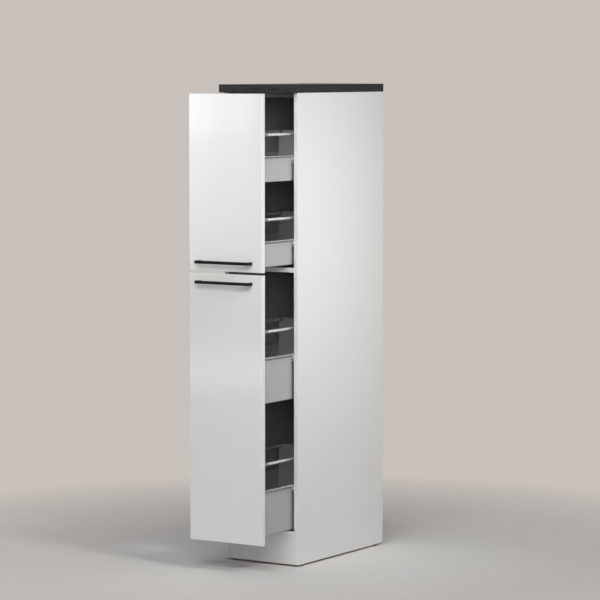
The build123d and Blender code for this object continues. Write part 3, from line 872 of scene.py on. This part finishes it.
class CABINET_OT_runners(bpy.types.Operator):
    """Runners with their rollers and screws"""

    bl_idname = "cabinet.runners"
    bl_label = "Runners and Rollers"

    def execute(self, context):
        epoxy = powder_coat("pale_epoxy", EPOXY, 0.28, 0.38)
        nylon = moulded_plastic("white_nylon", NYLON, 0.30, 0.42, 0.15)
        steel = bpy.data.materials["zinc_plated_steel"]
        screws = []
        for drawer, _ in DRAWERS:
            low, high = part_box(f"{drawer}_runners")
            roller_low, roller_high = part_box(f"{drawer}_front_rollers")
            start = roller_high[X] - ROLLER_WIDTH
            web, edge = high[X] - SHEET / 2, start - SHEET / 2
            wall = high[X] - SHEET
            roller_y = (roller_low[Y] + roller_high[Y]) / 2
            roller_z = (roller_low[Z] + roller_high[Z]) / 2
            lower = low[Z] + SHEET / 2
            upper = lower + RUNNER_HEIGHT - SHEET
            notch = roller_high[Y] + ROLLER_NOTCH
            pin = [(0, PIN_RADIUS), (wall - start, PIN_RADIUS)]
            channel = folded([(edge, upper), (web, upper), (web, lower), (edge, lower)])
            angle = folded([(web, upper + SHEET / 2), (web, lower), (edge, lower)])
            shells = []
            for _, hand in HANDS:
                shells.append(pushed(mirrored(angle, hand), low[Y], notch, Y))
                shells.append(pushed(mirrored(channel, hand), notch, high[Y], Y))
                shells.append(turned(pin, (hand * wall, roller_y, roller_z), X, -hand))
                for depth in RUNNER_SCREW_DEPTHS:
                    place = (hand * wall, low[Y] - RUNNER_SETBACK + depth, (lower + upper) / 2)
                    screws += screw(place, X, hand, RUNNER_SCREW_HEAD, RUNNER_SCREW_LENGTH)
            add_piece(f"{drawer}_runner_pair", shells, epoxy, "carcass", "runner_steel", f"{drawer}_runners")
            for end in ("front", "rear"):
                node = f"{drawer}_{end}_rollers"
                low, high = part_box(node)
                middle = (low + high) / 2
                start = high[X] - ROLLER_WIDTH
                pair = [roller((hand * start, middle[Y], middle[Z]), hand) for _, hand in HANDS]
                add_piece(f"{drawer}_{end}_roller_pair", pair, nylon, node, "nylon", node)
        add_piece("runner_screw_set", screws, steel, "carcass", "steel", "runner_screws")
        return {"FINISHED"}


class CABINET_OT_hardware(bpy.types.Operator):
    """Glides, bumpers and the joining hardware inside the boards"""

    bl_idname = "cabinet.hardware"
    bl_label = "Hardware"

    def execute(self, context):
        steel = bpy.data.materials["zinc_plated_steel"]
        zinc = satin_metal("die_cast_zinc", ZINC, 0.9, 0.40, 0.55, (1, 1, 1))
        beech = raw_beech(BEECH)
        finishes = {"cam_locks": zinc, "cam_bolts": steel, "dowels": beech, "worktop_screws": steel}
        for node, material in finishes.items():
            paint_node(node, material)
        paint_node("glides", moulded_plastic("dark_glide_plastic", GLIDE_PLASTIC, 0.45, 0.6))
        paint_node("front_bumpers", moulded_plastic("soft_bumper", BUMPER_PLASTIC, 0.25, 0.35, 0.2))
        return {"FINISHED"}


def floor_material(colour):
    """Pale matt floor that fades into the backdrop with its distance from the middle."""
    finish = Finish("studio_floor")
    away = finish.add("ShaderNodeVectorMath", operation="LENGTH")
    finish.feed(away.inputs[0], finish.place)
    solid = finish.spread(away.outputs["Value"], *FLOOR_FADE, 1.0, 0.0)
    finish.bump((finish.noise(40.0, 3.0), 0.05, 0.001))
    return finish.set(Base_Color=finish.mottle(colour, 0.02, 1.5), Roughness=0.75, Alpha=solid)


def studio_world(studio):
    """Even light from all round, with the backdrop's colour for rays from the camera, a mirror or glass."""
    world = bpy.data.worlds.new("studio")
    world.use_nodes = True
    tree = world.node_tree
    tree.nodes.clear()
    path = tree.nodes.new("ShaderNodeLightPath")
    seen = path.outputs["Is Camera Ray"]
    for ray in ("Is Glossy Ray", "Is Transmission Ray"):
        either = tree.nodes.new("ShaderNodeMath")
        either.operation = "MAXIMUM"
        tree.links.new(seen, either.inputs[0])
        tree.links.new(path.outputs[ray], either.inputs[1])
        seen = either.outputs[0]
    light = tree.nodes.new("ShaderNodeBackground")
    light.inputs["Strength"].default_value = studio.ambient
    shown = tree.nodes.new("ShaderNodeBackground")
    shown.inputs["Color"].default_value = (*studio.backdrop, 1)
    mix = tree.nodes.new("ShaderNodeMixShader")
    tree.links.new(seen, mix.inputs[0])
    tree.links.new(light.outputs[0], mix.inputs[1])
    tree.links.new(shown.outputs[0], mix.inputs[2])
    output = tree.nodes.new("ShaderNodeOutputWorld")
    tree.links.new(mix.outputs[0], output.inputs["Surface"])
    return world


def add_lamp(name, place, aim, size, spread, power):
    """A rectangular area lamp that faces a point."""
    lamp = bpy.data.lights.new(name, "AREA")
    lamp.shape = "RECTANGLE"
    lamp.size, lamp.size_y = size
    lamp.energy = power
    lamp.spread = spread
    holder = bpy.data.objects.new(name, lamp)
    holder.location = place
    holder.rotation_mode = "QUATERNION"
    holder.rotation_quaternion = (Vector(aim) - Vector(place)).to_track_quat("-Z", "Y")
    bpy.context.scene.collection.objects.link(holder)


def reflector_material(brightness, along):
    """Pale hanging cloth that glows: brighter upwards and to one side, with faint upright folds."""
    finish = Finish("reflector_cloth")
    up = finish.axis(Z)
    sideways = finish.maths("ADD", finish.maths("MULTIPLY", finish.axis(X), along[X]),
                            finish.maths("MULTIPLY", finish.axis(Y), along[Y]))
    folds = finish.spread(finish.noise(13.0, 3.0, (1, 1, 0.03)), *GLOW_FOLDS)
    slanted = finish.maths("ADD", up, finish.maths("MULTIPLY", sideways, GLOW_SLANT))
    low = finish.maths("ADD", finish.spread(up, *GLOW_LOWER), finish.spread(up, *GLOW_MIDDLE))
    high = finish.spread(slanted, *GLOW_UPPER)
    across = finish.spread(sideways, *GLOW_ACROSS)
    band = finish.maths("MULTIPLY", finish.spread(up, *GLOW_BAND_START), finish.spread(up, *GLOW_BAND_END))
    glow = finish.maths("MULTIPLY", finish.maths("ADD", low, high), across)
    glow = finish.maths("MULTIPLY", finish.maths("ADD", glow, band), folds)
    emission = finish.add("ShaderNodeEmission")
    finish.feed(emission.inputs["Strength"], finish.maths("MULTIPLY", glow, brightness))
    output = finish.tree.nodes["Material Output"]
    finish.feed(output.inputs["Surface"], emission.outputs[0])
    return finish.material


def add_reflector(brightness):
    """Upright card at the front left, square to the way in which the fronts mirror the camera."""
    away = np.array([-math.sin(CAMERA_TURN), -math.cos(CAMERA_TURN), 0])
    along = np.array([away[Y], -away[X], 0])
    foot = REFLECTOR_DISTANCE * away
    up = np.array([0, 0, REFLECTOR_HEIGHT])
    half = along * REFLECTOR_WIDTH / 2
    mesh = bpy.data.meshes.new("studio_reflector")
    mesh.from_pydata([foot - half, foot + half, foot + half + up, foot - half + up], [], [(0, 1, 2, 3)])
    mesh.materials.append(reflector_material(brightness, along))
    card = bpy.data.objects.new("studio_reflector", mesh)
    card.visible_camera = False
    card.visible_diffuse = False
    card.visible_shadow = False
    bpy.context.scene.collection.objects.link(card)


class CABINET_OT_stage(bpy.types.Operator):
    """Floor, world, lamps and the photograph's camera"""

    bl_idname = "cabinet.stage"
    bl_label = "Studio"

    def execute(self, context):
        scene, studio = context.scene, context.scene.cabinet_studio
        scene.view_settings.view_transform = "Standard"
        scene.world = studio_world(studio)
        angle = np.linspace(0, 2 * np.pi, FLOOR_STEPS, endpoint=False)
        rim = FLOOR_RADIUS * np.stack([np.cos(angle), np.sin(angle), np.zeros(FLOOR_STEPS)], axis=1)
        mesh = bpy.data.meshes.new("studio_floor")
        mesh.from_pydata(rim.tolist(), [], [list(range(FLOOR_STEPS))])
        mesh.materials.append(floor_material(studio.floor))
        floor = bpy.data.objects.new("studio_floor", mesh)
        scene.collection.objects.link(floor)

        for name, setting in LAMPS.items():
            add_lamp(f"{name}_lamp", *setting, getattr(studio, name))
        add_reflector(studio.reflector)

        camera = bpy.data.cameras.new("camera")
        camera.lens = CAMERA_LENS
        camera.sensor_width = CAMERA_SENSOR
        camera.clip_end = CAMERA_REACH
        holder = bpy.data.objects.new("camera", camera)
        holder.location = CAMERA_PLACE
        ahead = Vector((-math.sin(CAMERA_TURN) * math.cos(CAMERA_TILT),
                        math.cos(CAMERA_TURN) * math.cos(CAMERA_TILT), -math.sin(CAMERA_TILT)))
        holder.rotation_mode = "QUATERNION"
        holder.rotation_quaternion = ahead.to_track_quat("-Z", "Y")
        scene.collection.objects.link(holder)
        scene.camera = holder
        return {"FINISHED"}


class CABINET_PT_finish(bpy.types.Panel):
    """The steps of the cabinet's finish, in order"""

    bl_idname = "CABINET_PT_finish"
    bl_label = "Kitchen Cabinet"
    bl_space_type = "VIEW_3D"
    bl_region_type = "UI"
    bl_category = "Cabinet"

    def draw(self, context):
        for operator in OPERATORS:
            self.layout.operator(operator.bl_idname)
        for settings in (context.scene.cabinet_finish, context.scene.cabinet_studio):
            for name in settings.__annotations__:
                self.layout.prop(settings, name)


OPERATORS = (CABINET_OT_carcass, CABINET_OT_worktop, CABINET_OT_fronts, CABINET_OT_handles,
             CABINET_OT_drawers, CABINET_OT_rails, CABINET_OT_runners, CABINET_OT_hardware, CABINET_OT_stage)
CLASSES = (CabinetFinish, CabinetStudio, *OPERATORS, CABINET_PT_finish)


def register():
    for one in CLASSES:
        bpy.utils.register_class(one)
    bpy.types.Scene.cabinet_finish = PointerProperty(type=CabinetFinish)
    bpy.types.Scene.cabinet_studio = PointerProperty(type=CabinetStudio)


def unregister():
    del bpy.types.Scene.cabinet_studio
    del bpy.types.Scene.cabinet_finish
    for one in reversed(CLASSES):
        bpy.utils.unregister_class(one)


def main():
    """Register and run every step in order."""
    register()
    for operator in OPERATORS:
        group, step = operator.bl_idname.split(".")
        getattr(getattr(bpy.ops, group), step)()


if __name__ == "__main__":
    main()
